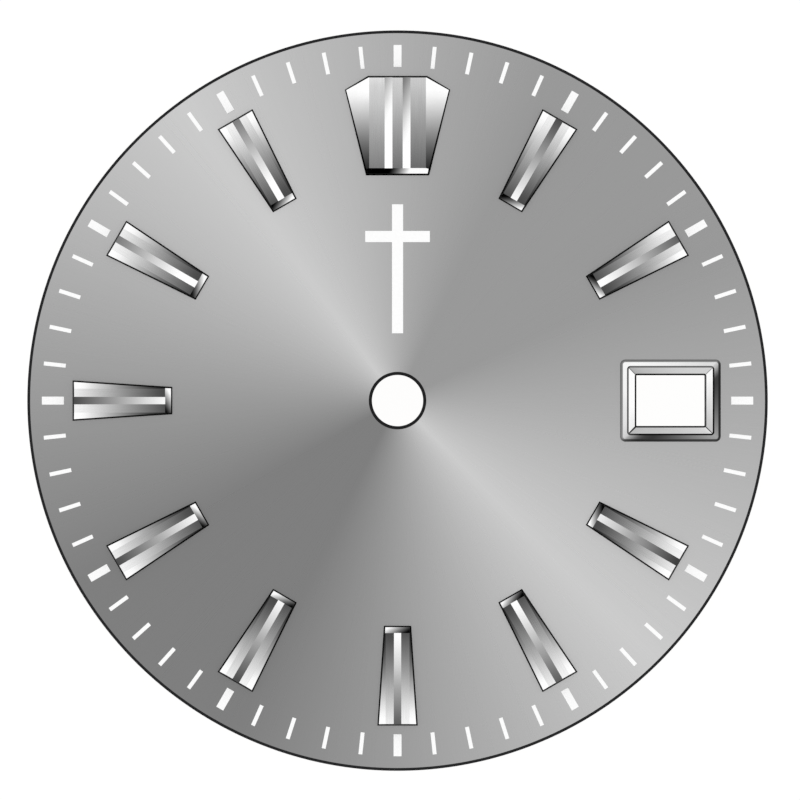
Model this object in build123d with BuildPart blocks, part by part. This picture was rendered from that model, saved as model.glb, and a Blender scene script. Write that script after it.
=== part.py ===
from build123d import *
import os

# A watch dial: a pierced and turned brass plate that carries applied hour markers, an applied frame
# round its date window, raised prints and two soldered feet.
# Sizes are in millimetres. The origin is the centre of the plate's back face, which seats on the
# movement. +Z points out of the dial's face towards the reader, and +Y points to 12 o'clock.

os.makedirs("parts", exist_ok=True)

# Plate, turned from sheet brass
plate_radius = 14.25
plate_thickness = 0.40
rim_bevel = 0.06
back_edge_bevel = 0.04
centre_hole_radius = 1.00
centre_hole_bevel = 0.08

# Minute track, printed inside the rim
track_rim_margin = 0.565
minute_mark_length = 0.85
minute_mark_width = 0.154
five_minute_mark_width = 0.309

# Hour markers: batons with a flat land, planar side facets that widen outwards, a groove that
# deepens outwards and a bevelled inner end
marker_track_gap = 0.33
marker_length = 3.84
marker_inner_width = 1.07
marker_outer_width = 1.57
marker_land_width = 0.92
marker_height = 0.40
marker_wall_draft = 9.0
marker_facet_angle = 10.0
end_bevel_length = 0.27
end_bevel_angle = 35.0
groove_width = 0.27
groove_depth = 0.08

# Marker at 12, wider, with clipped shoulders, a flat land and two grooves
twelve_track_gap = 0.34
twelve_length = 3.83
twelve_clip_length = 0.52
twelve_inner_width = 2.45
twelve_shoulder_width = 4.07
twelve_outer_width = 2.33
twelve_land_width = 2.18
twelve_groove_width = 0.30
twelve_groove_spacing = 0.685

# Feet of the markers and the frame, riveted in round holes and ending flush with the plate's back
rivet_foot_radius = 0.15
rivet_clearance = 0.01
marker_foot_shares = (0.25, 0.75)
twelve_foot_spacing = 1.80
twelve_foot_share = 0.5

# Date window at 3 o'clock, and the bevelled frame with a lip that drops into the plate
frame_track_gap = 0.40
frame_length = 3.87
frame_width = 3.16
frame_corner_radius = 0.20
frame_wall_height = 0.24
frame_wall_run = 0.10
frame_height = 0.34
ridge_length = 3.36
ridge_width = 2.66
ridge_corner_radius = 0.13
ridge_land_width = 0.06
window_length = 2.63
window_width = 1.96
window_corner_radius = 0.03
window_edge_height = 0.13
window_edge_bevel = 0.06
lip_wall = 0.10
lip_depth = 0.30
lip_clearance = 0.01

# Printed cross between the centre hole and the marker at 12
cross_hole_gap = 1.59
cross_marker_gap = 1.11
cross_bar_share = 0.75
cross_bar_length = 2.49
cross_stroke_width = 0.43

# Raised ink of all the prints
print_thickness = 0.02

# Dial feet: copper pins with a flange, hard-soldered into shallow milled recesses in the back
dial_foot_radius = 0.35
dial_foot_length = 2.00
dial_foot_bevel = 0.08
dial_foot_rim_margin = 1.65
upper_foot_angle = 45.0
lower_foot_angle = 222.0
flange_radius = 0.60
solder_film = 0.02
solder_ring_width = 0.18
foot_recess_depth = 0.16

# Angles of the dial's division
hour_step = 30.0
minute_step = 6.0
minutes_per_hour_mark = 5

# One overrun for every cut that leaves a face
cut_overrun = 0.10

# Rings of the dial, from the rim inwards
track_outer_radius = plate_radius - track_rim_margin
track_inner_radius = track_outer_radius - minute_mark_length
marker_outer_radius = track_inner_radius - marker_track_gap
marker_inner_radius = marker_outer_radius - marker_length
twelve_outer_radius = track_inner_radius - twelve_track_gap
twelve_shoulder_radius = twelve_outer_radius - twelve_clip_length
twelve_inner_radius = twelve_outer_radius - twelve_length
window_centre_radius = track_inner_radius - frame_track_gap - frame_length / 2
cross_top_radius = twelve_inner_radius - cross_marker_gap
cross_bottom_radius = centre_hole_radius + cross_hole_gap
cross_length = cross_top_radius - cross_bottom_radius
cross_bar_radius = cross_bottom_radius + cross_bar_share * cross_length
dial_foot_ring_radius = plate_radius - dial_foot_rim_margin

# Other values that follow from the ones above
rivet_hole_radius = rivet_foot_radius + rivet_clearance
lip_length = window_length + 2 * lip_wall
lip_width = window_width + 2 * lip_wall
lip_corner_radius = window_corner_radius + lip_wall
aperture_length = lip_length + 2 * lip_clearance
aperture_width = lip_width + 2 * lip_clearance
aperture_corner_radius = lip_corner_radius + lip_clearance
flange_thickness = foot_recess_depth - solder_film
foot_recess_radius = flange_radius + solder_ring_width
baton_hours = [hour for hour in range(1, 12) if hour != 3]
plate_face = Plane.XY.offset(plate_thickness)
frame_plane = Plane((window_centre_radius, 0, plate_thickness))


# Plane on the plate's face with its x axis along an hour's radius
def hour_plane(hour):
    return plate_face.rotated((0, 0, 90 - hour_step * hour))


# Places of a baton's two feet in its hour's plane
def baton_feet():
    return [(marker_inner_radius + share * marker_length, 0) for share in marker_foot_shares]


# Places of the two feet of the marker at 12 in its hour's plane
def twelve_feet():
    radius = twelve_inner_radius + twelve_foot_share * twelve_length
    return [(radius, -twelve_foot_spacing / 2), (radius, twelve_foot_spacing / 2)]


# Places of the frame's two feet in its own plane, on a diagonal between the lip and the outer wall
def frame_feet():
    along = (lip_length + frame_length) / 4
    across = (lip_width + frame_width) / 4
    return [(along, across), (-along, -across)]


# Places of all the rivet holes on the plate's face
def rivet_holes():
    feet = [(hour_plane(hour), foot) for hour in baton_hours for foot in baton_feet()]
    feet += [(hour_plane(12), foot) for foot in twelve_feet()]
    feet += [(frame_plane, foot) for foot in frame_feet()]
    return [plane.from_local_coords((*foot, 0)) for plane, foot in feet]


# Place of a dial foot in the plate's back
def dial_foot_place(angle):
    return Vector(dial_foot_ring_radius, 0, 0).rotate(Axis.Z, angle)


# Applied marker: a drafted body, cut by facet planes, an end bevel and grooves, on riveted feet
def make_marker(plane, outline, land_width, cut_width, groove_offsets, feet):
    inner_radius = min(point[0] for point in outline)
    outer_radius = max(point[0] for point in outline)
    bevel_top_radius = inner_radius + end_bevel_length
    with BuildPart() as marker:
        with BuildSketch(plane):
            with BuildLine():
                Polyline(*outline, close=True)
            make_face()
        extrude(amount=marker_height, taper=marker_wall_draft)

        # side facets fall away from the edges of the land
        for side in (-1, 1):
            land_edge = (0, side * land_width / 2, marker_height)
            facet = plane.location * Location(land_edge, (-side * marker_facet_angle, 0, 0))
            split(bisect_by=Plane(facet), keep=Keep.BOTTOM)

        # bevel down to the inner end
        bevel_top = (bevel_top_radius, 0, marker_height)
        end_bevel = plane.location * Location(bevel_top, (0, -end_bevel_angle, 0))
        split(bisect_by=Plane(end_bevel), keep=Keep.BOTTOM)

        # grooves deepen from the end bevel to the open outer end
        run = outer_radius + cut_overrun - bevel_top_radius
        fall = groove_depth * run / (outer_radius - bevel_top_radius)
        for offset_across in groove_offsets:
            groove_section = plane.location * Location((0, offset_across, 0), (90, 0, 0))
            with BuildSketch(Plane(groove_section)):
                with BuildLine():
                    Polyline(
                        (bevel_top_radius, marker_height),
                        (bevel_top_radius + run, marker_height - fall),
                        (bevel_top_radius + run, marker_height + cut_overrun),
                        (bevel_top_radius, marker_height + cut_overrun),
                        close=True,
                    )
                make_face()
            extrude(amount=cut_width / 2, both=True, mode=Mode.SUBTRACT)

        # round feet through the plate
        with BuildSketch(plane):
            with Locations(*feet):
                Circle(rivet_foot_radius)
        extrude(amount=-plate_thickness)
    return marker


# Radial marks of one width at the given minutes
def make_minute_marks(minutes, width):
    with BuildPart() as marks:
        with BuildSketch(plate_face):
            for minute in minutes:
                angle = 90 - minute_step * minute
                with PolarLocations((track_inner_radius + track_outer_radius) / 2, 1, angle):
                    Rectangle(minute_mark_length, width)
        extrude(amount=print_thickness)
    return marks


# Turned profile of the plate, then its aperture, rivet holes and foot recesses
with BuildPart() as dial_plate:
    with BuildSketch(Plane.XZ):
        with BuildLine():
            Polyline(
                (centre_hole_radius, 0),
                (plate_radius - back_edge_bevel, 0),
                (plate_radius, back_edge_bevel),
                (plate_radius, plate_thickness - rim_bevel),
                (plate_radius - rim_bevel, plate_thickness),
                (centre_hole_radius + centre_hole_bevel, plate_thickness),
                (centre_hole_radius, plate_thickness - centre_hole_bevel),
                close=True,
            )
        make_face()
    revolve(axis=Axis.Z)
    with BuildSketch(frame_plane):
        RectangleRounded(aperture_length, aperture_width, aperture_corner_radius)
    extrude(amount=-plate_thickness, mode=Mode.SUBTRACT)
    with Locations(*rivet_holes()):
        Hole(rivet_hole_radius, depth=plate_thickness)
    with BuildSketch(Plane.XY):
        with Locations(dial_foot_place(upper_foot_angle), dial_foot_place(lower_foot_angle)):
            Circle(foot_recess_radius)
    extrude(amount=foot_recess_depth, mode=Mode.SUBTRACT)
dial_plate.part.label = "dial_plate"
export_step(dial_plate.part, "parts/dial_plate.step")

# Ten batons, each turned to its own hour
baton_outline = [
    (marker_inner_radius, -marker_inner_width / 2),
    (marker_outer_radius, -marker_outer_width / 2),
    (marker_outer_radius, marker_outer_width / 2),
    (marker_inner_radius, marker_inner_width / 2),
]
for hour in baton_hours:
    baton = make_marker(
        hour_plane(hour), baton_outline, marker_land_width, groove_width, [0], baton_feet()
    )
    baton.part.label = f"hour_marker_{hour:02d}"
    export_step(baton.part, f"parts/hour_marker_{hour:02d}.step")

# Marker at 12, with its shoulders clipped towards the outer end
twelve_outline = [
    (twelve_inner_radius, -twelve_inner_width / 2),
    (twelve_shoulder_radius, -twelve_shoulder_width / 2),
    (twelve_outer_radius, -twelve_outer_width / 2),
    (twelve_outer_radius, twelve_outer_width / 2),
    (twelve_shoulder_radius, twelve_shoulder_width / 2),
    (twelve_inner_radius, twelve_inner_width / 2),
]
twelve_grooves = [-twelve_groove_spacing / 2, twelve_groove_spacing / 2]
hour_marker_12 = make_marker(
    hour_plane(12),
    twelve_outline,
    twelve_land_width,
    twelve_groove_width,
    twelve_grooves,
    twelve_feet(),
)
hour_marker_12.part.label = "hour_marker_12"
export_step(hour_marker_12.part, "parts/hour_marker_12.step")

# Date frame: an outer bevel up to a narrow ridge, an inner bevel down to the window, lip and feet
with BuildPart() as date_frame:
    # leaning outer wall
    with BuildSketch(frame_plane):
        RectangleRounded(frame_length, frame_width, frame_corner_radius)
    with BuildSketch(frame_plane.offset(frame_wall_height)):
        RectangleRounded(
            frame_length - 2 * frame_wall_run,
            frame_width - 2 * frame_wall_run,
            frame_corner_radius - frame_wall_run,
        )
    loft()

    # outer bevel
    with BuildSketch(frame_plane.offset(frame_wall_height)):
        RectangleRounded(
            frame_length - 2 * frame_wall_run,
            frame_width - 2 * frame_wall_run,
            frame_corner_radius - frame_wall_run,
        )
    with BuildSketch(frame_plane.offset(frame_height)):
        RectangleRounded(ridge_length, ridge_width, ridge_corner_radius)
    loft()

    # lip that drops into the plate
    with BuildSketch(frame_plane):
        RectangleRounded(lip_length, lip_width, lip_corner_radius)
    extrude(amount=-lip_depth)

    # inner bevel, then the broken edge of the window and the window itself
    with BuildSketch(frame_plane.offset(window_edge_height + window_edge_bevel)):
        RectangleRounded(
            window_length + 2 * window_edge_bevel,
            window_width + 2 * window_edge_bevel,
            window_corner_radius + window_edge_bevel,
        )
    with BuildSketch(frame_plane.offset(frame_height)):
        RectangleRounded(
            ridge_length - 2 * ridge_land_width,
            ridge_width - 2 * ridge_land_width,
            ridge_corner_radius - ridge_land_width,
        )
    loft(mode=Mode.SUBTRACT)
    with BuildSketch(frame_plane.offset(window_edge_height)):
        RectangleRounded(window_length, window_width, window_corner_radius)
    with BuildSketch(frame_plane.offset(window_edge_height + window_edge_bevel)):
        RectangleRounded(
            window_length + 2 * window_edge_bevel,
            window_width + 2 * window_edge_bevel,
            window_corner_radius + window_edge_bevel,
        )
    loft(mode=Mode.SUBTRACT)
    with BuildSketch(frame_plane.offset(-lip_depth)):
        RectangleRounded(window_length, window_width, window_corner_radius)
    extrude(amount=lip_depth + window_edge_height, mode=Mode.SUBTRACT)

    # round feet through the plate
    with BuildSketch(frame_plane):
        with Locations(*frame_feet()):
            Circle(rivet_foot_radius)
    extrude(amount=-plate_thickness)
date_frame.part.label = "date_frame"
export_step(date_frame.part, "parts/date_frame.step")

# Minute track, thin marks between the hours and wide ones at every fifth minute
all_minutes = range(round(360 / minute_step))
minute_marks = make_minute_marks(
    [minute for minute in all_minutes if minute % minutes_per_hour_mark], minute_mark_width
)
minute_marks.part.label = "minute_marks"
export_step(minute_marks.part, "parts/minute_marks.step")
five_minute_marks = make_minute_marks(
    [minute for minute in all_minutes if minute % minutes_per_hour_mark == 0],
    five_minute_mark_width,
)
five_minute_marks.part.label = "five_minute_marks"
export_step(five_minute_marks.part, "parts/five_minute_marks.step")

# Upright Latin cross between the centre and 12
with BuildPart() as cross_print:
    with BuildSketch(plate_face):
        with Locations((0, (cross_bottom_radius + cross_top_radius) / 2)):
            Rectangle(cross_stroke_width, cross_length)
        with Locations((0, cross_bar_radius)):
            Rectangle(cross_bar_length, cross_stroke_width)
    extrude(amount=print_thickness)
cross_print.part.label = "cross_print"
export_step(cross_print.part, "parts/cross_print.step")

# The two dial feet, each with the hard solder that fills the rest of its recess
for name, angle in (("upper", upper_foot_angle), ("lower", lower_foot_angle)):
    place = dial_foot_place(angle)
    foot_section = Plane(place, x_dir=(1, 0, 0), z_dir=(0, -1, 0))
    with BuildPart() as dial_foot:
        with BuildSketch(foot_section):
            with BuildLine():
                Polyline(
                    (0, flange_thickness),
                    (flange_radius, flange_thickness),
                    (flange_radius, 0),
                    (dial_foot_radius, 0),
                    (dial_foot_radius, dial_foot_bevel - dial_foot_length),
                    (dial_foot_radius - dial_foot_bevel, -dial_foot_length),
                    (0, -dial_foot_length),
                    close=True,
                )
            make_face()
        revolve(axis=Axis(place, (0, 0, 1)))
    dial_foot.part.label = f"dial_foot_{name}"
    export_step(dial_foot.part, f"parts/dial_foot_{name}.step")

    with BuildPart() as foot_solder:
        with BuildSketch(foot_section):
            with BuildLine():
                Polyline(
                    (0, flange_thickness),
                    (flange_radius, flange_thickness),
                    (flange_radius, 0),
                    (foot_recess_radius, 0),
                    (foot_recess_radius, foot_recess_depth),
                    (0, foot_recess_depth),
                    close=True,
                )
            make_face()
        revolve(axis=Axis(place, (0, 0, 1)))
    foot_solder.part.label = f"foot_solder_{name}"
    export_step(foot_solder.part, f"parts/foot_solder_{name}.step")
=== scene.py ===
import math

import bmesh
import bpy
from mathutils import Matrix, Vector


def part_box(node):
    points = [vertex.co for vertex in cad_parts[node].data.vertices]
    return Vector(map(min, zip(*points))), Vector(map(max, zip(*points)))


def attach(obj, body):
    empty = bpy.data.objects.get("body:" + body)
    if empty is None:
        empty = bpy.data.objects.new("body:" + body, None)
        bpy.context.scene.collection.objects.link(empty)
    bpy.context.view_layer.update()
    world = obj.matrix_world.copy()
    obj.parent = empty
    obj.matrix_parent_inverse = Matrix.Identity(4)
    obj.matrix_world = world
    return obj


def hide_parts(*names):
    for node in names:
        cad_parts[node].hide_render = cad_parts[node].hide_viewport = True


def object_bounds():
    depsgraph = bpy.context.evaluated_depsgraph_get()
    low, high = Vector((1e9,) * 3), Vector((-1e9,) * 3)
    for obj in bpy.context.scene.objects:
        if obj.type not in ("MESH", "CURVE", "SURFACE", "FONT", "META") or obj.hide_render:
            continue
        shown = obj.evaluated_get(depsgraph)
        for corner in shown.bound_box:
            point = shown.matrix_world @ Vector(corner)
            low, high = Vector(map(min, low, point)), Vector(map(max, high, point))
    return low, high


# A watch dial with applied markers and a date window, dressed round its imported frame.
# Sizes in the dictionaries are millimetres and degrees; mm turns them into scene units.
# Tones run from 0 for black to 255 for white, as the eye sees them.
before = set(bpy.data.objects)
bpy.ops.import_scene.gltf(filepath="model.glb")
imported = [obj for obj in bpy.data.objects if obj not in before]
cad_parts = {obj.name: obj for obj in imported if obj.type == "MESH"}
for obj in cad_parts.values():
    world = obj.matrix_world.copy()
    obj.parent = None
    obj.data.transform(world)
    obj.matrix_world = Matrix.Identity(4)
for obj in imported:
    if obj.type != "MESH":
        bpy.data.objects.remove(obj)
cadLow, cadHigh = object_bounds()
mm = 0.001
mergeDistance = 1e-5
tolerance = 1e-6
smoothBelow = 20  # degrees between two faces that still shade as one surface
displayGamma = 2.2
scene = bpy.context.scene
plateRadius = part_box("dial_plate")[1].x / mm
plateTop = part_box("dial_plate")[1].z / mm
print("frame loaded with", len(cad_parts), "nodes")


# Small helpers for meshes

def tangent(angle):
    return math.tan(math.radians(angle))


def between(pair, share):
    return pair[0] + (pair[1] - pair[0]) * share


# Turn from 3 o'clock to a minute of the track
def clockTurn(minute):
    return math.radians(90 - 6 * minute)


def meshObject(name, bm):
    mesh = bpy.data.meshes.new(name)
    bm.to_mesh(mesh)
    bm.free()
    made = bpy.data.objects.new(name, mesh)
    scene.collection.objects.link(made)
    return made


def finishPiece(name, bm, materials, replaced, turn=0.0, place=(0, 0, 0)):
    bmesh.ops.rotate(bm, verts=bm.verts, cent=(0, 0, 0), matrix=Matrix.Rotation(turn, 3, "Z"))
    bmesh.ops.translate(bm, verts=bm.verts, vec=place)
    bmesh.ops.scale(bm, verts=bm.verts, vec=(mm, mm, mm))
    piece = meshObject(name, bm)
    for material in materials:
        piece.data.materials.append(material)
    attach(piece, "root")
    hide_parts(*replaced)
    return piece


def addLoop(bm, points):
    verts = [bm.verts.new(point) for point in points]
    return [bm.edges.new((verts[i - 1], verts[i])) for i in range(len(verts))]


def fillEnds(bm, *loops):
    for loop in loops:
        bmesh.ops.contextual_create(bm, geom=loop)


def softenEdges(bm, edges, width, segments=2):
    return bmesh.ops.bevel(
        bm, geom=edges, offset=width, offset_type="OFFSET", affect="EDGES",
        segments=segments, profile=0.5, material=-1, clamp_overlap=True,
    )["faces"]


def addCylinder(bm, radius, depth, steps, centre):
    return bmesh.ops.create_cone(
        bm, cap_ends=True, segments=steps, radius1=radius, radius2=radius,
        depth=depth, matrix=Matrix.Translation(centre),
    )["verts"]


def faceOutwards(bm):
    bmesh.ops.remove_doubles(bm, verts=bm.verts, dist=mergeDistance)
    bmesh.ops.recalc_face_normals(bm, faces=bm.faces)


# Spins a profile of radii and heights round the dial's axis, and shades it smooth but for its edges
def latheProfile(bm, points, steps):
    verts = [bm.verts.new((x, 0, z)) for x, z in points]
    edges = [bm.edges.new(pair) for pair in zip(verts, verts[1:])]
    bmesh.ops.spin(
        bm, geom=verts + edges, cent=(0, 0, 0), axis=(0, 0, 1), dvec=(0, 0, 0),
        angle=2 * math.pi, steps=steps, use_merge=True, use_duplicate=False,
    )
    faceOutwards(bm)
    for face in bm.faces:
        face.smooth = True
    for edge in bm.edges:
        edge.smooth = edge.calc_face_angle(math.pi) < math.radians(smoothBelow)


# Small helpers for materials

def newMaterial(name, metallic, colour=(0.8, 0.8, 0.8)):
    material = bpy.data.materials.new(name)
    material.use_nodes = True
    nodes, links = material.node_tree.nodes, material.node_tree.links
    shader = nodes["Principled BSDF"]
    shader.inputs["Metallic"].default_value = metallic
    shader.inputs["Base Color"].default_value = (*colour, 1)
    return material, nodes, links, shader


# Object coordinates in millimetres
def objectCoordinates(nodes, links):
    coordinates = nodes.new("ShaderNodeTexCoord")
    mapping = nodes.new("ShaderNodeMapping")
    mapping.inputs["Scale"].default_value = (1 / mm, 1 / mm, 1 / mm)
    links.new(coordinates.outputs["Object"], mapping.inputs["Vector"])
    return mapping.outputs["Vector"]


def vectorMath(nodes, links, operation, first, second=None):
    node = nodes.new("ShaderNodeVectorMath")
    node.operation = operation
    links.new(first, node.inputs[0])
    if second is not None:
        node.inputs[1].default_value = second
    return node.outputs["Value" if operation == "LENGTH" else "Vector"]


def maths(nodes, links, operation, *values):
    node = nodes.new("ShaderNodeMath")
    node.operation = operation
    for socket, value in zip(node.inputs, values):
        if isinstance(value, (int, float)):
            socket.default_value = value
        else:
            links.new(value, socket)
    return node.outputs["Value"]


def noise(nodes, links, vector, scale=1.0, detail=3.0, roughness=0.5):
    node = nodes.new("ShaderNodeTexNoise")
    node.inputs["Scale"].default_value = scale
    node.inputs["Detail"].default_value = detail
    node.inputs["Roughness"].default_value = roughness
    links.new(vector, node.inputs["Vector"])
    return node.outputs["Fac"]


# Most of a noise lies between 0.3 and 0.7, so these are the limits that low and high stand for
def ranged(nodes, links, value, low, high, fromLow=0.3, fromHigh=0.7):
    node = nodes.new("ShaderNodeMapRange")
    node.inputs["From Min"].default_value = fromLow
    node.inputs["From Max"].default_value = fromHigh
    node.inputs["To Min"].default_value = low
    node.inputs["To Max"].default_value = high
    links.new(value, node.inputs["Value"])
    return node.outputs["Result"]


# Stops are (place, tone)
def toneRamp(nodes, links, value, stops):
    ramp = nodes.new("ShaderNodeValToRGB")
    elements = ramp.color_ramp.elements
    first, last = stops[0][0], stops[-1][0]
    while len(elements) < len(stops):
        elements.new(1.0)
    for element, (place, tone) in zip(elements, stops):
        element.position = (place - first) / (last - first)
        element.color = (tone / 255, tone / 255, tone / 255, 1)
    links.new(ranged(nodes, links, value, 0.0, 1.0, first, last), ramp.inputs["Fac"])
    return ramp.outputs["Color"]


def multiply(nodes, links, colour, value):
    node = nodes.new("ShaderNodeMix")
    node.data_type = "RGBA"
    node.blend_type = "MULTIPLY"
    node.inputs["Factor"].default_value = 1.0
    links.new(colour, node.inputs["A"])
    links.new(value, node.inputs["B"])
    return node.outputs["Result"]


def mixColours(nodes, links, pattern, first, second):
    node = nodes.new("ShaderNodeMix")
    node.data_type = "RGBA"
    node.inputs["A"].default_value = (*first, 1)
    node.inputs["B"].default_value = (*second, 1)
    links.new(ranged(nodes, links, pattern, 0.0, 1.0), node.inputs["Factor"])
    return node.outputs["Result"]


# The gamma turns a tone into the light that the shader wants
def paint(nodes, links, shader, tone):
    gamma = nodes.new("ShaderNodeGamma")
    gamma.inputs["Gamma"].default_value = displayGamma
    links.new(tone, gamma.inputs["Color"])
    links.new(gamma.outputs["Color"], shader.inputs["Base Color"])


# Roughness follows the pattern, and so does the relief, where a look gives its strength and depth
def roughen(nodes, links, shader, pattern, look):
    links.new(ranged(nodes, links, pattern, *look["roughness"]), shader.inputs["Roughness"])
    if "relief" in look:
        strength, depth = look["relief"]
        node = nodes.new("ShaderNodeBump")
        node.inputs["Strength"].default_value = strength
        node.inputs["Distance"].default_value = depth * mm
        links.new(pattern, node.inputs["Height"])
        links.new(node.outputs["Normal"], shader.inputs["Normal"])


# Plate: the sunray face with the light's bright and dark sectors painted in as reflection, dark bevels
# at the rim and the hole, a turned edge and a lapped brass back

plate = {
    "steps": 360,
    "rimBevel": 0.114,
    "backBevel": 0.04,
    "holeRadius": 0.985,
    "holeBevel": 0.122,
    "clearance": 0.01,  # round the markers' feet and the frame's lip
    "rivetSteps": 24,
    "recessRadius": 0.78,
    "recessDepth": 0.16,
    "recessSteps": 48,
    "cutOverrun": 0.1,
    # how far a normal points up on the flat face, and up or down on the bevels and the back
    "flatAbove": 0.9,
    "leanBeyond": 0.3,
    "sunray": {
        # painted reflection: tones of the light's bright and dark sectors, by degrees from 3 o'clock
        # anticlockwise
        "paintedFans": [
            (-180, 152.4), (-150, 125.6), (-116, 125.6), (-45.5, 202),
            (25, 151.4), (65, 151.4), (126, 202), (180, 152.4),
        ],
        "streaks": 260,
        "streakTones": (0.992, 1.008),
        "roughness": (0.26, 0.36),
        "relief": (0.12, 0.004),
    },
    "darkBevel": {
        "colour": (0.009, 0.009, 0.010),
        "specular": 0.08,
        "grain": 9,
        "roughness": (0.38, 0.55),
        "relief": (0.15, 0.004),
    },
    "turnedEdge": {
        "colour": (0.42, 0.42, 0.42),
        "lines": (0.2, 0.2, 40),
        "roughness": (0.22, 0.38),
        "relief": (0.2, 0.004),
    },
    "brassBack": {
        "colours": [(0.60, 0.45, 0.22), (0.72, 0.57, 0.31)],
        "clouds": 0.35,
        "lines": 34,
        "bands": 3.2,
        "bandTones": (0.88, 1.06),
        "roughness": (0.24, 0.42),
        "relief": (0.25, 0.006),
    },
}


def sunrayMaterial():
    look = plate["sunray"]
    material, nodes, links, shader = newMaterial("sunraySilver", 1.0)
    flat = vectorMath(nodes, links, "MULTIPLY", objectCoordinates(nodes, links), (1, 1, 0))
    ray = vectorMath(nodes, links, "NORMALIZE", flat)
    split = nodes.new("ShaderNodeSeparateXYZ")
    links.new(ray, split.inputs["Vector"])
    angle = maths(nodes, links, "ARCTAN2", split.outputs["Y"], split.outputs["X"])
    # The light's sectors are painted into the colour as reflection; the streaks are the real brushing
    paintedFans = toneRamp(nodes, links, maths(nodes, links, "DEGREES", angle), look["paintedFans"])
    streaks = noise(nodes, links, ray, look["streaks"], roughness=0.7)
    streaked = ranged(nodes, links, streaks, *look["streakTones"])
    paint(nodes, links, shader, multiply(nodes, links, paintedFans, streaked))
    roughen(nodes, links, shader, streaks, look)
    return material


def darkBevelMaterial():
    look = plate["darkBevel"]
    material, nodes, links, shader = newMaterial("darkBevel", 0.0, look["colour"])
    shader.inputs["Specular IOR Level"].default_value = look["specular"]
    grain = noise(nodes, links, objectCoordinates(nodes, links), look["grain"], detail=2)
    roughen(nodes, links, shader, grain, look)
    return material


def turnedEdgeMaterial():
    look = plate["turnedEdge"]
    material, nodes, links, shader = newMaterial("turnedEdge", 1.0, look["colour"])
    drawnOut = vectorMath(nodes, links, "MULTIPLY", objectCoordinates(nodes, links), look["lines"])
    roughen(nodes, links, shader, noise(nodes, links, drawnOut), look)
    return material


def brassMaterial():
    look = plate["brassBack"]
    material, nodes, links, shader = newMaterial("lappedBrass", 1.0)
    place = objectCoordinates(nodes, links)
    flat = vectorMath(nodes, links, "MULTIPLY", place, (1, 1, 0))
    rings = nodes.new("ShaderNodeCombineXYZ")
    links.new(vectorMath(nodes, links, "LENGTH", flat), rings.inputs["X"])
    turned = noise(nodes, links, rings.outputs["Vector"], look["lines"], detail=4, roughness=0.75)
    bands = noise(nodes, links, rings.outputs["Vector"], look["bands"], detail=4, roughness=0.6)
    clouds = noise(nodes, links, place, look["clouds"])
    mixed = mixColours(nodes, links, clouds, *look["colours"])
    banded = multiply(nodes, links, mixed, ranged(nodes, links, bands, *look["bandTones"]))
    links.new(banded, shader.inputs["Base Color"])
    roughen(nodes, links, shader, turned, look)
    return material


def rivetPlaces():
    places = []
    for hour, spec in markerSpecs.items():
        turned = Matrix.Rotation(clockTurn(5 * hour), 3, "Z")
        places += [turned @ Vector((x, y, 0)) for x, y in markerFeet(spec)]
    return places + [frameCentre() + Vector((x, y, 0)) for x, y in frameFeet()]


def cutPlate(piece):
    bm = bmesh.new()
    through = plateTop + 2 * plate["cutOverrun"]
    rivetRadius = marker["footRadius"] + plate["clearance"]
    for place in rivetPlaces():
        addCylinder(bm, rivetRadius, through, plate["rivetSteps"], (place.x, place.y, plateTop / 2))
    for place in footPlaces():
        depth = 2 * plate["recessDepth"]
        addCylinder(bm, plate["recessRadius"], depth, plate["recessSteps"], (place.x, place.y, 0))
    opening = grown(dateFrame["window"], dateFrame["lipWall"] + plate["clearance"])
    aperture = bmesh.ops.create_cube(bm, size=1.0)["verts"]
    bmesh.ops.scale(bm, verts=aperture, vec=(opening[0], opening[1], through))
    bmesh.ops.translate(bm, verts=aperture, vec=frameCentre() + Vector((0, 0, plateTop / 2)))
    bmesh.ops.scale(bm, verts=bm.verts, vec=(mm, mm, mm))
    cutter = meshObject("cutter", bm)
    modifier = piece.modifiers.new("holes", "BOOLEAN")
    modifier.operation = "DIFFERENCE"
    modifier.solver = "EXACT"
    modifier.object = cutter
    drilled = piece.evaluated_get(bpy.context.evaluated_depsgraph_get())
    piece.data = bpy.data.meshes.new_from_object(drilled)
    piece.modifiers.clear()
    bpy.data.objects.remove(cutter)


def makePlate():
    bm = bmesh.new()
    hole, chamfer = plate["holeRadius"], plate["holeBevel"]
    radius, rim, back = plateRadius, plate["rimBevel"], plate["backBevel"]
    profile = [
        (hole, 0), (radius - back, 0), (radius, back),
        (radius, plateTop - rim), (radius - rim, plateTop),
        (hole + chamfer, plateTop), (hole, plateTop - chamfer), (hole, 0),
    ]
    latheProfile(bm, profile, plate["steps"])
    looks = [sunrayMaterial(), darkBevelMaterial(), brassMaterial(), turnedEdgeMaterial()]
    sunraySlot, bevelSlot, backSlot, edgeSlot = range(len(looks))
    for face in bm.faces:
        if face.normal.z > plate["flatAbove"]:
            face.material_index = sunraySlot
        elif face.normal.z > plate["leanBeyond"]:
            face.material_index = bevelSlot
        elif face.normal.z < -plate["leanBeyond"]:
            face.material_index = backSlot
        else:
            face.material_index = edgeSlot
    piece = finishPiece("sunrayPlate", bm, looks, ["dial_plate"])
    cutPlate(piece)
    print("plate made:", len(piece.data.polygons), "faces")


# Metals of the markers and the date frame

metal = {
    "polish": {"haze": 2.2, "hazeTones": (0.99, 1.01), "roughness": (0.07, 0.15)},
    "satin": {
        "lines": (3.0, 60.0),  # along the marker and across it
        "lineTones": (0.98, 1.02),
        "roughness": (0.2, 0.32),
        "relief": (0.15, 0.003),
    },
    "wall": {"haze": 6, "roughness": (0.14, 0.24)},
    "footEnd": {
        "colour": (0.62, 0.60, 0.56),
        "dents": 14,
        "roughness": (0.25, 0.4),
        "relief": (0.3, 0.01),
    },
}


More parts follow.
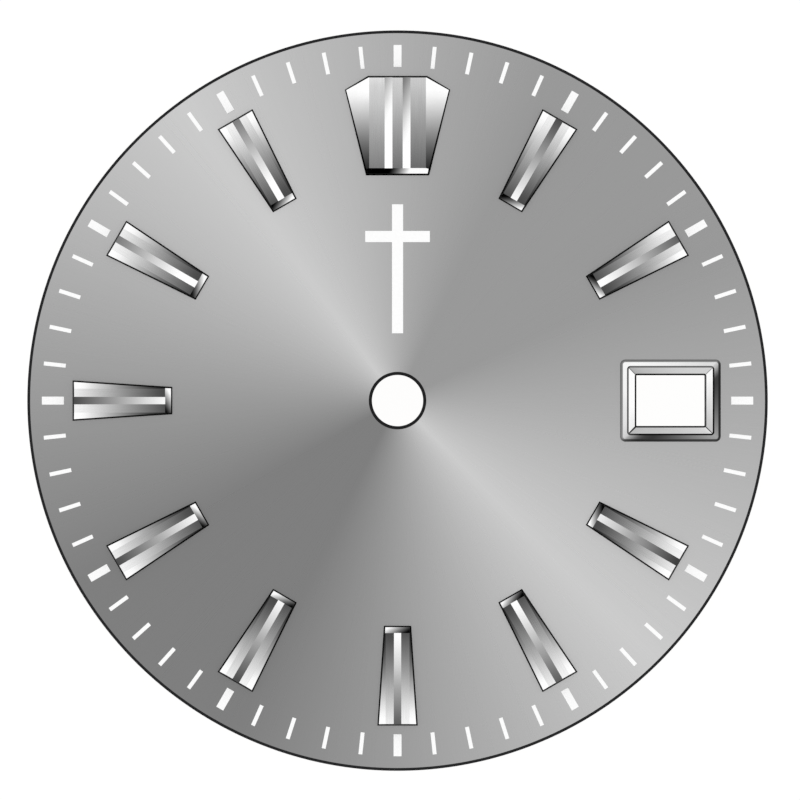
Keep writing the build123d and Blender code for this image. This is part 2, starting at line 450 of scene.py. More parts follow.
def uvCoordinates(nodes, links):
    uvMap = nodes.new("ShaderNodeUVMap")
    uvMap.uv_map = "along"
    split = nodes.new("ShaderNodeSeparateXYZ")
    links.new(uvMap.outputs["UV"], split.inputs["Vector"])
    return split.outputs["X"], split.outputs["Y"]


# Paints a reflection tone into the colour, under a faint real haze in the colour and the roughness
def paintReflectionInto(nodes, links, shader, tone):
    look = metal["polish"]
    haze = noise(nodes, links, objectCoordinates(nodes, links), look["haze"])
    hazy = ranged(nodes, links, haze, *look["hazeTones"])
    paint(nodes, links, shader, multiply(nodes, links, tone, hazy))
    roughen(nodes, links, shader, haze, look)


# Polished metal with painted reflection, whose tone follows the piece's first UV axis or its second, or
# a line slanted to them
def paintedReflectionMaterial(name, stops, slant=0.0, alongFirst=True):
    material, nodes, links, shader = newMaterial(name, 1.0)
    along, across = uvCoordinates(nodes, links)
    main, other = (along, across) if alongFirst else (across, along)
    if slant:
        main = maths(nodes, links, "MULTIPLY_ADD", other, slant, main)
    paintReflectionInto(nodes, links, shader, toneRamp(nodes, links, main, stops))
    return material


# Satin land: real brushed lines over a painted reflection tone along the marker
def paintedReflectionLandMaterial(name, stops):
    look = metal["satin"]
    material, nodes, links, shader = newMaterial(name, 1.0)
    along, across = uvCoordinates(nodes, links)
    brush = nodes.new("ShaderNodeCombineXYZ")
    for axis, place, lines in zip("XY", (along, across), look["lines"]):
        links.new(maths(nodes, links, "MULTIPLY", place, lines), brush.inputs[axis])
    brushed = noise(nodes, links, brush.outputs["Vector"])
    lined = ranged(nodes, links, brushed, *look["lineTones"])
    paint(nodes, links, shader, multiply(nodes, links, toneRamp(nodes, links, along, stops), lined))
    roughen(nodes, links, shader, brushed, look)
    return material


# Dark polished metal with painted shade: its dark colour stands in for the shade of a steep wall, and
# the black tint keeps it dark where it is seen at a slant from above
def paintedShadeWallMaterial(name, shade):
    look = metal["wall"]
    material, nodes, links, shader = newMaterial(name, 1.0, (shade, shade, shade))
    shader.inputs["Specular Tint"].default_value = (0, 0, 0, 1)
    haze = noise(nodes, links, objectCoordinates(nodes, links), look["haze"], detail=2)
    roughen(nodes, links, shader, haze, look)
    return material


def footEndMaterial():
    look = metal["footEnd"]
    material, nodes, links, shader = newMaterial("peenedFootEnd", 1.0, look["colour"])
    dented = noise(nodes, links, objectCoordinates(nodes, links), look["dents"], detail=2)
    roughen(nodes, links, shader, dented, look)
    return material


# Hour markers: sections bridged along the length, an end bevel cut with a plane, riveted feet
# Tones are painted reflection; they go by shares of the length from the inner end, those of the end
# bevels by shares of the width
# Slants lean the tones across a groove or along an end bevel
# Shifts slide them, as each marker is turned to the lamp

baton = {
    "name": "baton",
    "inner": -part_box("hour_marker_06")[1].y / mm,
    "outer": -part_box("hour_marker_06")[0].y / mm,
    "widths": (1.055, 1.555),
    "clip": 0.0,
    "land": 0.92,
    "drafts": (9.0, 13.5, 9.0, 9.0),  # inner end, side beside the end bevel, side, outer end
    "softEnd": 0.013,
    "softSide": 0.006,
    "grooves": [0.0],
    "grooveWidths": (0.275, 0.294),  # at the end bevel, at the outer end
    "feet": [(0.25, 0.0), (0.75, 0.0)],
    "wallShade": 0.07,
    "landTones": [
        (0.01, 75), (0.07, 82), (0.15, 97), (0.31, 126),
        (0.55, 172), (0.79, 217), (0.87, 231), (0.95, 240),
    ],
    "grooveTones": [(0.10, 255), (0.20, 243), (0.40, 207), (0.55, 176), (0.80, 129), (1.20, 53)],
    "grooveSlant": 0.0,
    "endTones": [(0.0, 12), (0.62, 255)],
    "endSlant": -4.2,
    "facetShift": 0.0,
    "landShifts": [0.0, -0.078],  # on either side of the groove
    # by hour, and for each groove
    "grooveShifts": {
        1: [0.08], 2: [-0.02], 4: [0.16], 5: [0.0], 6: [0.0],
        7: [0.085], 8: [0.09], 9: [0.09], 10: [-0.15], 11: [-0.15],
    },
    "endShifts": {
        1: -0.05, 2: -0.038, 4: -0.015, 5: -0.028, 6: -0.01,
        7: 0.028, 8: 0.048, 9: 0.036, 10: 0.036, 11: 0.0,
    },
}
markerTwelve = {
    "name": "twelve",
    "inner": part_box("hour_marker_12")[0].y / mm,
    "outer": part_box("hour_marker_12")[1].y / mm,
    "widths": (2.433, 4.053, 2.272),
    "clip": 0.532,
    "land": 2.18,
    "drafts": (12.3, 16.0, 10.4, 11.0, 9.6),  # the fourth is the clipped shoulder
    "softEnd": 0.014,
    "softSide": 0.006,
    "grooves": [0.3465, -0.3465],
    "grooveWidths": (0.30, 0.30),
    "feet": [(0.5, -0.9), (0.5, 0.9)],
    "wallShade": 0.03,
    "landTones": [
        (-0.12, 107), (0.10, 131), (0.30, 151), (0.50, 175),
        (0.70, 195), (0.80, 201), (0.88, 208), (0.96, 222),
    ],
    "grooveTones": [(0.40, 255), (0.52, 240), (0.76, 188), (1.0, 134), (1.1, 118)],
    "grooveSlant": -0.21,
    "endTones": [(0.40, 2), (0.497, 120), (0.592, 255)],
    "endSlant": -0.43,
    "facetShift": 0.075,
    "landShifts": [-0.02, -0.12, -0.21],
    "grooveShifts": {12: [-0.095, 0.125]},
    "endShifts": {12: 0.0},
}
marker = {
    "height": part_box("hour_marker_06")[1].z / mm - plateTop,
    "facetAngle": 10.0,
    "endBevel": 0.27,
    "endBevelAngle": 35.0,
    "grooveDepths": (0.004, 0.08),
    "footRadius": 0.15,
    "footProud": 0.004,
    "footSteps": 24,
    # painted reflection along the facets
    "facetTones": [
        (0.07, 36), (0.15, 48), (0.23, 67), (0.39, 110),
        (0.55, 154), (0.79, 222), (0.87, 245), (0.93, 255),
    ],
    # how far a normal points up on a drafted wall, at least and at most
    "wallAbove": 0.05,
    "wallBelow": 0.45,
    # and how far it points inwards on an end bevel, or sideways on a groove's side
    "endBeyond": 0.45,
    "sideBeyond": 0.7,
    "acrossShare": 0.3,  # an end's edge runs along the marker for less than this share of its length
    "grooveReach": 1.02,  # half widths from a groove's middle that still count as the groove
}
# one spec for each hour but the date window's
markerSpecs = {hour: markerTwelve if hour == 12 else baton for hour in range(1, 13) if hour != 3}
facetSlot, grooveSlot, endSlot, wallSlot, landSlot, footSlot = range(6)


# Places of the two feet, from shares of the length and places across
def markerFeet(spec):
    return [(between((spec["inner"], spec["outer"]), share), across) for share, across in spec["feet"]]


# How a corner of the outline moves for each millimetre up, where two leaning walls meet
# Where they are in line, the second wall counts
def cornerLean(first, second):
    (a, slopeA), (b, slopeB) = first, second
    turn = a.x * b.y - a.y * b.x
    if abs(turn) < tolerance:
        return -slopeB * b
    return Vector((slopeB * a.y - slopeA * b.y, slopeA * b.x - slopeB * a.x)) / turn


# One lean for each section, from the walls' outward directions
def sectionLeans(spec, sections):
    steps = [(x1 - x0, w1 - w0) for (x0, w0), (x1, w1) in zip(sections, sections[1:])]
    runs = [Vector(step).normalized() for step in steps]
    outwards = [Vector((-1, 0))] + [Vector((-run.y, run.x)) for run in runs] + [Vector((1, 0))]
    walls = [(direction, tangent(draft)) for direction, draft in zip(outwards, spec["drafts"])]
    return [cornerLean(first, second) for first, second in zip(walls, walls[1:])]


# The grooves deepen and widen along the run, which is 0 at the end bevel's top and 1 at the outer end
def sectionPoints(x, halfWidth, spec, run, lean):
    height, fall = marker["height"], tangent(marker["facetAngle"])
    land, half = spec["land"] / 2, between(spec["grooveWidths"], run) / 2
    depth = between(marker["grooveDepths"], run)
    wallTop = min((height - (halfWidth - land) * fall) / (1 + lean.y * fall), height)
    side = [(-halfWidth, 0), (-halfWidth - wallTop * lean.y, wallTop), (-land, height)]
    across = list(side)
    for middle in sorted(spec["grooves"]):
        across += [(middle - half, height), (middle - half, height - depth),
                   (middle + half, height - depth), (middle + half, height)]
    across += [(-y, z) for y, z in reversed(side)]
    return [(x + lean.x * z, y, z) for y, z in across]


# Places and half widths of the outline, from the inner end to the outer one
def markerSections(spec):
    halves = [width / 2 for width in spec["widths"]]
    bevelTop, widest = spec["inner"] + marker["endBevel"], spec["outer"] - spec["clip"]
    growth = marker["endBevel"] / (widest - spec["inner"])
    sections = [(spec["inner"], halves[0]), (bevelTop, between(halves, growth)), (widest, halves[1])]
    return sections + [(spec["outer"], half) for half in halves[2:]]


def makeMarkerBody(spec):
    bm = bmesh.new()
    bevelTop = spec["inner"] + marker["endBevel"]
    sections = markerSections(spec)
    loops = []
    for (x, halfWidth), lean in zip(sections, sectionLeans(spec, sections)):
        run = max(0.0, (x - bevelTop) / (spec["outer"] - bevelTop))
        loops.append(addLoop(bm, sectionPoints(x, halfWidth, spec, run, lean)))
    for first, second in zip(loops, loops[1:]):
        bmesh.ops.bridge_loops(bm, edges=first + second)
    fillEnds(bm, loops[0], loops[-1])
    slope = math.radians(marker["endBevelAngle"])
    cut = bmesh.ops.bisect_plane(
        bm, geom=bm.verts[:] + bm.edges[:] + bm.faces[:], dist=tolerance,
        plane_co=(bevelTop, 0, marker["height"]), plane_no=(-math.sin(slope), 0, math.cos(slope)),
        clear_outer=True,
    )
    fillEnds(bm, [edge for edge in cut["geom_cut"] if isinstance(edge, bmesh.types.BMEdge)])
    faceOutwards(bm)
    return bm


# The upper edges of the drafted walls
def isWallTop(edge):
    lower, upper = sorted(face.normal.z for face in edge.link_faces)
    return marker["wallAbove"] < lower < marker["wallBelow"] < upper


def isAcross(edge):
    run = edge.verts[1].co - edge.verts[0].co
    return abs(run.x) < marker["acrossShare"] * run.length


# The two ends are polished rounder than the long sides, and a soft edge takes the painted shade of the
# wall below it
def softenWallTops(bm, spec):
    for width, atEnds in ((spec["softEnd"], True), (spec["softSide"], False)):
        wallTops = [
            edge for edge in bm.edges
            if isWallTop(edge) and isAcross(edge) == atEnds
            and all(face.material_index != wallSlot for face in edge.link_faces)
        ]
        for face in softenEdges(bm, wallTops, width):
            face.material_index = wallSlot


# Gives each face its slot, and a UV that runs along the marker and across it or its groove
def dressMarker(bm, spec, hour):
    uvLayer = bm.loops.layers.uv.new("along")
    widest, grooveWidth = max(spec["widths"]), max(spec["grooveWidths"])
    length = spec["outer"] - spec["inner"]
    for face in bm.faces:
        middle, normal = face.calc_center_median(), face.normal
        distances = [abs(middle.y - groove) for groove in spec["grooves"]]
        nearest = distances.index(min(distances))
        inGroove = distances[nearest] < grooveWidth / 2 * marker["grooveReach"]
        isGrooveSide = inGroove and abs(normal.y) > marker["sideBeyond"]
        isSteep = normal.z < marker["wallBelow"]
        if face.material_index == wallSlot or isSteep and not isGrooveSide:
            face.material_index = wallSlot
        elif normal.x < -marker["endBeyond"]:
            face.material_index = endSlot
        elif inGroove:
            face.material_index = grooveSlot
        elif abs(middle.y) < spec["land"] / 2:
            face.material_index = landSlot
        field = sum(groove > middle.y for groove in spec["grooves"])
        alongShift = {
            facetSlot: spec["facetShift"],
            grooveSlot: spec["grooveShifts"][hour][nearest],
            landSlot: spec["landShifts"][field],
        }.get(face.material_index, 0.0)
        acrossShift = spec["endShifts"][hour] if face.material_index == endSlot else 0.0
        for loop in face.loops:
            x, y = loop.vert.co.x, loop.vert.co.y
            across = 0.5 - y / widest + acrossShift
            if face.material_index == grooveSlot:
                across = 0.5 - (y - spec["grooves"][nearest]) / grooveWidth
            loop[uvLayer].uv = ((x - spec["inner"]) / length + alongShift, across)


def addFeet(bm, feet, slotIndex):
    depth = plateTop + marker["footProud"]
    for x, y in feet:
        pin = addCylinder(bm, marker["footRadius"], depth, marker["footSteps"], (x, y, -depth / 2))
        for face in {face for vert in pin for face in vert.link_faces}:
            face.material_index = slotIndex


# In the order of the slots
def markerLooks(spec, facet, footEnd):
    name = spec["name"]
    return [
        facet,
        paintedReflectionMaterial(f"{name}Groove", spec["grooveTones"], spec["grooveSlant"]),
        paintedReflectionMaterial(f"{name}EndBevel", spec["endTones"], spec["endSlant"], alongFirst=False),
        paintedShadeWallMaterial(f"{name}Wall", spec["wallShade"]),
        paintedReflectionLandMaterial(f"{name}Land", spec["landTones"]),
        footEnd,
    ]


def makeMarkers():
    shared = paintedReflectionMaterial("facetPaintedReflection", marker["facetTones"]), footEndMaterial()
    looks = {spec["name"]: markerLooks(spec, *shared) for spec in (baton, markerTwelve)}
    for hour, spec in markerSpecs.items():
        bm = makeMarkerBody(spec)
        softenWallTops(bm, spec)
        dressMarker(bm, spec, hour)
        addFeet(bm, markerFeet(spec), footSlot)
        finishPiece(
            f"marker{hour:02d}", bm, looks[spec["name"]], [f"hour_marker_{hour:02d}"],
            turn=clockTurn(5 * hour), place=(0, 0, plateTop),
        )
    print("hour markers made")


# Date frame: one rounded loop pushed from the lip over the ridge and down through the window

dateFrame = {
    # length, width and corner radius of the loops
    "outer": (3.87, 3.16, 0.20),
    "ridge": (3.36, 2.67, 0.13),
    "window": (2.63, 1.95, 0.03),
    "wallRun": 0.10,
    "wallHeight": 0.24,
    "ridgeLand": 0.066,
    "windowBevel": 0.064,
    "windowEdge": 0.13,
    "lipWall": 0.10,
    "lipDepth": 0.30,
    "height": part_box("date_frame")[1].z / mm - plateTop,
    "cornerSegments": 8,
    "cornerShare": 0.04,  # of the way round, for each corner
    # painted shade on the lip, the frame's underside and the window's inner wall
    "lipShade": 0.07,
    "wallTint": 0.6,
    # tones of painted reflection and shade, by share of the way round, clockwise from the corner at the
    # top left
    "wallTones": [
        (0.0, 250), (0.24, 250), (0.27, 85), (0.31, 58), (0.36, 60), (0.49, 85),
        (0.52, 118), (0.60, 102), (0.70, 68), (0.73, 125), (0.76, 250), (1.0, 250),
    ],
    # painted shade, darker towards the wall's foot
    "wallRise": [(0.0, 150), (1.0, 255)],  # from its foot to its top
    "outerBevelTones": [
        (0.0, 248), (0.03, 249), (0.10, 244), (0.16, 232), (0.21, 223), (0.235, 224), (0.25, 194),
        (0.265, 184), (0.275, 160), (0.29, 112), (0.305, 68), (0.325, 64), (0.36, 79), (0.40, 100),
        (0.45, 131), (0.48, 151), (0.5, 160), (0.53, 151), (0.58, 120), (0.63, 86), (0.672, 58),
        (0.694, 68), (0.708, 96), (0.722, 145), (0.74, 190), (0.75, 205), (0.80, 223), (0.86, 235),
        (0.92, 244), (0.97, 247), (1.0, 248),
    ],
    "ridgeTones": [
        (0.0, 70), (0.02, 100), (0.23, 100), (0.25, 110), (0.265, 0), (0.48, 0), (0.5, 15),
        (0.52, 25), (0.70, 15), (0.745, 90), (0.78, 84), (0.98, 88), (1.0, 70),
    ],
    "innerBevelTones": [
        (0.0, 105), (0.005, 170), (0.05, 187), (0.10, 196), (0.17, 206), (0.243, 209), (0.25, 120),
        (0.257, 252), (0.30, 251), (0.36, 233), (0.45, 205), (0.492, 195), (0.498, 30), (0.502, 30),
        (0.506, 231), (0.53, 214), (0.60, 202), (0.70, 191), (0.740, 186), (0.744, 4), (0.756, 4),
        (0.760, 238), (0.80, 243), (0.86, 255), (0.994, 255), (0.997, 60), (1.0, 60),
    ],
    "windowEdgeTones": [
        (0.0, 14), (0.24, 16), (0.26, 75), (0.49, 75), (0.51, 72), (0.73, 72), (0.76, 5), (1.0, 5),
    ],
}


def frameCentre():
    low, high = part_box("date_frame")
    return Vector(((low.x + high.x) / 2 / mm, 0, 0))


def grown(shape, by):
    return (shape[0] + 2 * by, shape[1] + 2 * by, shape[2] + by)


# Two feet on a diagonal, halfway between the lip and the outer wall
def frameFeet():
    outer, lip = dateFrame["outer"], grown(dateFrame["window"], dateFrame["lipWall"])
    along, across = (outer[0] + lip[0]) / 4, (outer[1] + lip[1]) / 4
    return [(along, across), (-along, -across)]


def startLoop(bm, shape, z):
    corners = bmesh.ops.create_grid(bm, x_segments=1, y_segments=1, size=0.5)["verts"]
    bmesh.ops.scale(bm, verts=corners, vec=(shape[0], shape[1], 1))
    bmesh.ops.bevel(
        bm, geom=corners, offset=shape[2], offset_type="OFFSET", affect="VERTICES",
        segments=dateFrame["cornerSegments"], profile=0.5, material=-1,
    )
    bmesh.ops.delete(bm, geom=bm.faces[:], context="FACES_ONLY")
    bmesh.ops.translate(bm, verts=bm.verts, vec=(0, 0, z))
    return bm.edges[:]


def cornerCentre(shape, right, up):
    return Vector((right * (shape[0] / 2 - shape[2]), up * (shape[1] / 2 - shape[2]), 0))


# Copies the loop outwards or inwards, keeping each corner round
# Gives back the copy's edges, the band of faces between the two, and the copy's vertices
def pushLoop(bm, edges, old, new, rise):
    made = bmesh.ops.extrude_edge_only(bm, edges=edges)["geom"]
    before = {vert for edge in edges for vert in edge.verts}
    verts = {item for item in made if isinstance(item, bmesh.types.BMVert)} - before
    for right, up in ((-1, -1), (-1, 1), (1, -1), (1, 1)):
        corner = [vert for vert in verts if vert.co.x * right > 0 and vert.co.y * up > 0]
        centre, growth = cornerCentre(old, right, up), new[2] / old[2]
        bmesh.ops.scale(bm, verts=corner, vec=(growth, growth, 1), space=Matrix.Translation(-centre))
        move = cornerCentre(new, right, up) - centre + Vector((0, 0, rise))
        bmesh.ops.translate(bm, verts=corner, vec=move)
    faces = [item for item in made if isinstance(item, bmesh.types.BMFace)]
    return [edge for edge in bm.edges if set(edge.verts) <= verts], faces, verts


# Share of the way round a loop, clockwise from the middle of the corner at the top left
def roundShare(point, shape):
    right, up = (1 if point.x > 0 else -1), (1 if point.y > 0 else -1)
    corner = [(-1, 1), (1, 1), (1, -1), (-1, -1)].index((right, up))
    out = point - cornerCentre(shape, right, up)
    sweep = (135 - 90 * corner - math.degrees(math.atan2(out.y, out.x)) + 180) % 360 - 180
    return corner / 4 + sweep / 90 * dateFrame["cornerShare"]


# A band's UV runs round the frame, and from its old loop at 0 to its new one at 1
# A face just before the seam counts on towards 1, and one across it past 1
def dressBand(faces, uvLayer, old, new, newVerts, slotIndex):
    for face in faces:
        face.material_index = slotIndex
        shares = [
            roundShare(loop.vert.co, new if loop.vert in newVerts else old) for loop in face.loops
        ]
        if sum(shares) < 0:
            shares = [share + 1 for share in shares]
        elif max(shares) - min(shares) > 0.5:
            shares = [share + 1 if share < 0.5 else share for share in shares]
        for loop, share in zip(face.loops, shares):
            loop[uvLayer].uv = (share, 1.0 if loop.vert in newVerts else 0.0)


# Leaning outer wall with painted light and shade: light round the top and left sides, dark round the
# right and bottom, and lighter towards its top
def paintedLightFrameWallMaterial():
    material, nodes, links, shader = newMaterial("frameWall", 1.0)
    shader.inputs["Specular Tint"].default_value = (dateFrame["wallTint"],) * 3 + (1,)
    around, rise = uvCoordinates(nodes, links)
    aroundTone = toneRamp(nodes, links, around, dateFrame["wallTones"])
    riseTone = toneRamp(nodes, links, rise, dateFrame["wallRise"])
    paintReflectionInto(nodes, links, shader, multiply(nodes, links, aroundTone, riseTone))
    return material


def makeDateFrame():
    looks = {
        "lip": paintedShadeWallMaterial("frameLipPaintedShade", dateFrame["lipShade"]),
        "wall": paintedLightFrameWallMaterial(),
        "outerBevel": paintedReflectionMaterial("frameOuterBevel", dateFrame["outerBevelTones"]),
        "ridge": paintedReflectionMaterial("frameRidge", dateFrame["ridgeTones"]),
        "innerBevel": paintedReflectionMaterial("frameInnerBevel", dateFrame["innerBevelTones"]),
        "windowEdge": paintedReflectionMaterial("frameWindowEdge", dateFrame["windowEdgeTones"]),
        "footEnd": footEndMaterial(),
    }
    slots = list(looks)
    outer, ridge, window = (dateFrame[key] for key in ("outer", "ridge", "window"))
    lip = grown(window, dateFrame["lipWall"])
    low, top, edge = -dateFrame["lipDepth"], dateFrame["height"], dateFrame["windowEdge"]
    # each loop's shape, its height and the look of the band that leads to it
    rings = [
        (lip, low, "lip"), (lip, 0.0, "lip"), (outer, 0.0, "lip"),
        (grown(outer, -dateFrame["wallRun"]), dateFrame["wallHeight"], "wall"),
        (ridge, top, "outerBevel"), (grown(ridge, -dateFrame["ridgeLand"]), top, "ridge"),
        (grown(window, dateFrame["windowBevel"]), edge + dateFrame["windowBevel"], "innerBevel"),
        (window, edge, "windowEdge"), (window, low, "lip"), (lip, low, "lip"),
    ]
    bm = bmesh.new()
    uvLayer = bm.loops.layers.uv.new("along")
    edges = startLoop(bm, lip, low)
    for (old, fromHeight, skipped), (new, toHeight, look) in zip(rings, rings[1:]):
        edges, faces, verts = pushLoop(bm, edges, old, new, toHeight - fromHeight)
        dressBand(faces, uvLayer, old, new, verts, slots.index(look))
    faceOutwards(bm)
    addFeet(bm, frameFeet(), slots.index("footEnd"))
    finishPiece(
        "dateFrame", bm, looks.values(), ["date_frame"],
        place=frameCentre() + Vector((0, 0, plateTop)),
    )
    print("date frame made")


# Prints: raised white ink with rounded edges

prints = {
    "thickness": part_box("cross_print")[1].z / mm - plateTop,
    "trackOuter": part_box("five_minute_marks")[1].y / mm,
    "markLength": 0.85,
    "minuteWidth": 0.154,
    "fiveMinuteWidth": 0.309,
    "crossLow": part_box("cross_print")[0].y / mm,
    "crossHigh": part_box("cross_print")[1].y / mm,
    "barShare": 0.75,
    "barLength": 2.49,
    "stroke": 0.43,
    "softEdge": 0.008,
    "ink": {
        "mottle": 9,
        "mottleTones": [(0.3, 252), (0.7, 255)],
        "roughness": (0.32, 0.5),
        "relief": (0.2, 0.004),
    },
}


def inkMaterial():
    look = prints["ink"]
    material, nodes, links, shader = newMaterial("whiteInk", 0.0)
    mottle = noise(nodes, links, objectCoordinates(nodes, links), look["mottle"])
    paint(nodes, links, shader, toneRamp(nodes, links, mottle, look["mottleTones"]))
    roughen(nodes, links, shader, mottle, look)
    return material


def addMark(bm, width, minute):
    length, thickness = prints["markLength"], prints["thickness"]
    verts = bmesh.ops.create_cube(bm, size=1.0)["verts"]
    bmesh.ops.scale(bm, verts=verts, vec=(length, width, thickness))
    bmesh.ops.translate(bm, verts=verts, vec=(prints["trackOuter"] - length / 2, 0, thickness / 2))
    turned = Matrix.Rotation(clockTurn(minute), 3, "Z")
    bmesh.ops.rotate(bm, verts=verts, cent=(0, 0, 0), matrix=turned)


def finishPrint(name, bm, ink, node):
    middle = prints["thickness"] / 2
    tops = [edge for edge in bm.edges if all(vert.co.z > middle for vert in edge.verts)]
    softenEdges(bm, tops, prints["softEdge"])
    finishPiece(name, bm, [ink], [node], place=(0, 0, plateTop))


def makeTrack(ink):
    for name, node, width, isFive in (
        ("minuteInk", "minute_marks", prints["minuteWidth"], False),
        ("fiveMinuteInk", "five_minute_marks", prints["fiveMinuteWidth"], True),
    ):
        bm = bmesh.new()
        for minute in range(60):
            if (minute % 5 == 0) == isFive:
                addMark(bm, width, minute)
        finishPrint(name, bm, ink, node)


def makeCross(ink):
    bm = bmesh.new()
    low, high, half = prints["crossLow"], prints["crossHigh"], prints["stroke"] / 2
    bar, reach = between((low, high), prints["barShare"]), prints["barLength"] / 2
    right = [(half, low), (half, bar - half), (reach, bar - half),
             (reach, bar + half), (half, bar + half), (half, high)]
    outline = right + [(-x, y) for x, y in reversed(right)]
    sheet = bm.faces.new([bm.verts.new((x, y, 0)) for x, y in outline])
    raised = bmesh.ops.extrude_face_region(bm, geom=[sheet], use_keep_orig=True)["geom"]
    verts = [item for item in raised if isinstance(item, bmesh.types.BMVert)]
    bmesh.ops.translate(bm, verts=verts, vec=(0, 0, prints["thickness"]))
    faceOutwards(bm)
    finishPrint("crossInk", bm, ink, "cross_print")


def makePrints():
    ink = inkMaterial()
    makeTrack(ink)
    makeCross(ink)
    print("prints made")


# Dial feet, and the hard solder that fills the plate's recesses round their flanges

foot = {
    "radius": 0.35,
    "tipBevel": 0.08,
    "flange": 0.60,
    "flangeTop": 0.14,
    "steps": 48,
    "copper": {
        "colours": [(0.70, 0.33, 0.19), (0.86, 0.47, 0.30)],
        "tarnish": 3.0,
        "lines": (30, 30, 1.5),
        "roughness": (0.22, 0.4),
        "relief": (0.2, 0.006),
    },
    "solder": {
        "colour": (0.66, 0.65, 0.61),
        "ripple": 5.0,
        "roughness": (0.28, 0.5),
        "relief": (0.4, 0.02),
    },
}


def footPlaces():
    boxes = [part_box(name) for name in ("dial_foot_upper", "dial_foot_lower")]
    return [(low + high) / 2 / mm for low, high in boxes]


def copperMaterial():
    look = foot["copper"]
    material, nodes, links, shader = newMaterial("drawnCopper", 1.0)
    place = objectCoordinates(nodes, links)
    drawn = noise(nodes, links, vectorMath(nodes, links, "MULTIPLY", place, look["lines"]))
    tarnish = noise(nodes, links, place, look["tarnish"])
    links.new(mixColours(nodes, links, tarnish, *look["colours"]), shader.inputs["Base Color"])
    roughen(nodes, links, shader, drawn, look)
    return material


def solderMaterial():
    look = foot["solder"]
    material, nodes, links, shader = newMaterial("hardSolder", 1.0, look["colour"])
    ripple = noise(nodes, links, objectCoordinates(nodes, links), look["ripple"])
    roughen(nodes, links, shader, ripple, look)
    return material


def makeFeet():
    low, radius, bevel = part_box("dial_foot_upper")[0].z / mm, foot["radius"], foot["tipBevel"]
    recess, depth = plate["recessRadius"], plate["recessDepth"]
    flange = [(0, foot["flangeTop"]), (foot["flange"], foot["flangeTop"]), (foot["flange"], 0)]
    pin = [(radius, 0), (radius, low + bevel), (radius - bevel, low), (0, low)]
    ring = [(recess, 0), (recess, depth), (0, depth)]
    turned = [
        ("foot", flange + pin, copperMaterial(), "foot_copper", "dial_foot"),
        ("solder", flange + ring, solderMaterial(), "hard_solder", "foot_solder"),
    ]
    for side, place in zip(("Upper", "Lower"), footPlaces()):
        for name, profile, material, slotName, node in turned:
            bm = bmesh.new()
            latheProfile(bm, profile, foot["steps"])
            finishPiece(
                f"{name}{side}", bm, [material], [f"{node}_{side.lower()}"],
                place=(place.x, place.y, 0),
            )
    print("dial feet made")


makePlate()
makeMarkers()
makeDateFrame()
makePrints()
makeFeet()


# Studio: a pale floor, an even white sky, a faint softbox overhead and a long lens straight above

studio = {
    "floorSide": 1200,
    "floorGlow": 0.96,
    "floorDiffuse": 0.06,
    "floorColour": 0.9,
    "floorRoughness": 0.9,
    "skyTop": 1.0,
    "skySide": 0.98,
    "skyBlend": 0.7,  # height of the sky's direction at which the top's light is full
    "overheadSide": 460,
    "overheadHeight": 500,
    "overheadRadiance": 0.012,
    "lens": 400,
    "sensor": 36,
    "clipRange": (10, 10000),
    "pixelSize": 0.038476,  # millimetres on the dial for one pixel of the picture
    "pictureSide": 800,
    "dialCentre": (397.05, 400.1),  # pixels, where the dial's centre shows
}


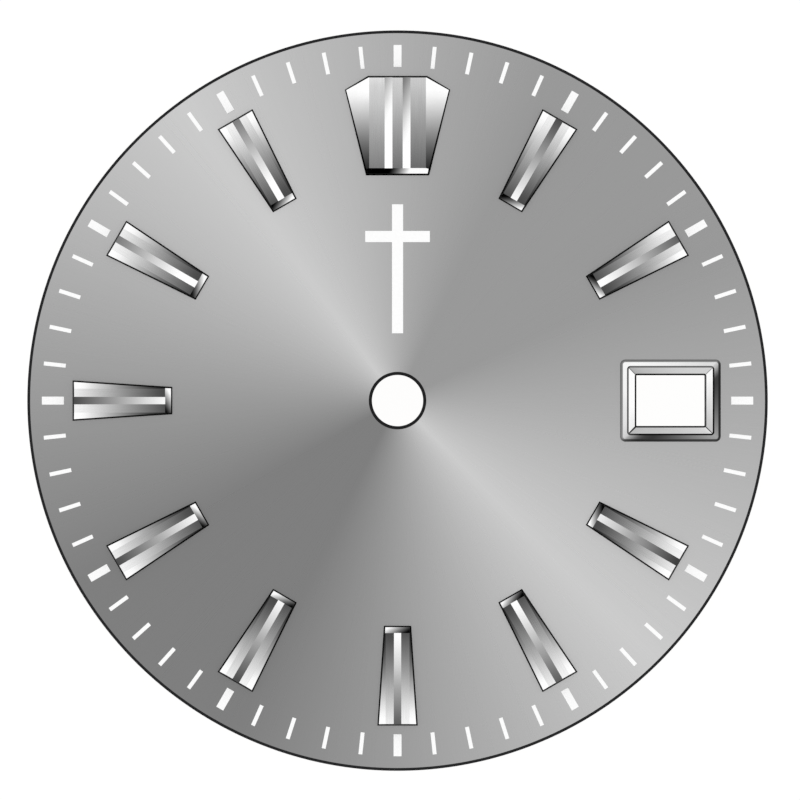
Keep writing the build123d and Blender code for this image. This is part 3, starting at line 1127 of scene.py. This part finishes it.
def makeFloor():
    bm = bmesh.new()
    bmesh.ops.create_grid(bm, x_segments=1, y_segments=1, size=studio["floorSide"] * mm / 2)
    bmesh.ops.translate(bm, verts=bm.verts, vec=(0, 0, cadLow.z))
    floor = meshObject("floor", bm)
    material, nodes, links, shader = newMaterial("paleFloor", 0.0, (studio["floorColour"],) * 3)
    shader.inputs["Roughness"].default_value = studio["floorRoughness"]
    path = nodes.new("ShaderNodeLightPath")
    seen = maths(nodes, links, "MAXIMUM", path.outputs["Is Camera Ray"], path.outputs["Is Glossy Ray"])
    glow = nodes.new("ShaderNodeEmission")
    glow.inputs["Strength"].default_value = studio["floorGlow"]
    diffuse = nodes.new("ShaderNodeBsdfDiffuse")
    diffuse.inputs["Color"].default_value = (studio["floorDiffuse"],) * 3 + (1,)
    both = nodes.new("ShaderNodeAddShader")
    links.new(glow.outputs["Emission"], both.inputs[0])
    links.new(diffuse.outputs["BSDF"], both.inputs[1])
    choice = nodes.new("ShaderNodeMixShader")
    links.new(seen, choice.inputs["Fac"])
    links.new(shader.outputs["BSDF"], choice.inputs[1])
    links.new(both.outputs["Shader"], choice.inputs[2])
    # seen from below the floor is clear, so that the dial's back shows
    backfacing = nodes.new("ShaderNodeNewGeometry").outputs["Backfacing"]
    fromBelow = maths(nodes, links, "MULTIPLY", backfacing, path.outputs["Is Camera Ray"])
    clear = nodes.new("ShaderNodeBsdfTransparent")
    oneSided = nodes.new("ShaderNodeMixShader")
    links.new(fromBelow, oneSided.inputs["Fac"])
    links.new(choice.outputs["Shader"], oneSided.inputs[1])
    links.new(clear.outputs["BSDF"], oneSided.inputs[2])
    links.new(oneSided.outputs["Shader"], nodes["Material Output"].inputs["Surface"])
    floor.data.materials.append(material)


def makeSky():
    world = bpy.data.worlds.new("studioSky")
    scene.world = world
    world.use_nodes = True
    nodes, links = world.node_tree.nodes, world.node_tree.links
    background = nodes["Background"]
    background.inputs["Color"].default_value = (1, 1, 1, 1)
    coordinates = nodes.new("ShaderNodeTexCoord")
    split = nodes.new("ShaderNodeSeparateXYZ")
    links.new(coordinates.outputs["Generated"], split.inputs["Vector"])
    side, top, blend = studio["skySide"], studio["skyTop"], studio["skyBlend"]
    level = ranged(nodes, links, split.outputs["Z"], side, top, 0.0, blend)
    path = nodes.new("ShaderNodeLightPath")
    strength = maths(nodes, links, "MAXIMUM", level, path.outputs["Is Camera Ray"])
    links.new(strength, background.inputs["Strength"])


def makeSoftbox():
    lamp = bpy.data.lights.new("overheadSoftbox", "AREA")
    lamp.shape = "SQUARE"
    lamp.size = studio["overheadSide"] * mm
    lamp.energy = studio["overheadRadiance"] * math.pi * lamp.size ** 2
    softbox = bpy.data.objects.new("overheadSoftbox", lamp)
    softbox.location = (0, 0, studio["overheadHeight"] * mm)
    scene.collection.objects.link(softbox)


def makeCamera():
    data = bpy.data.cameras.new("camera")
    data.lens = studio["lens"]
    data.sensor_width = studio["sensor"]
    camera = bpy.data.objects.new("camera", data)
    middle = (studio["pictureSide"] - 1) / 2
    right = (middle - studio["dialCentre"][0]) * studio["pixelSize"]
    up = (studio["dialCentre"][1] - middle) * studio["pixelSize"]
    width = studio["pictureSide"] * studio["pixelSize"]
    distance = width / studio["sensor"] * studio["lens"]
    camera.location = (right * mm, up * mm, (plateTop + distance) * mm)
    data.clip_start, data.clip_end = (reach * mm for reach in studio["clipRange"])
    scene.collection.objects.link(camera)
    scene.camera = camera


makeFloor()
makeSky()
makeSoftbox()
makeCamera()
scene.view_settings.view_transform = "Standard"
print("studio ready")
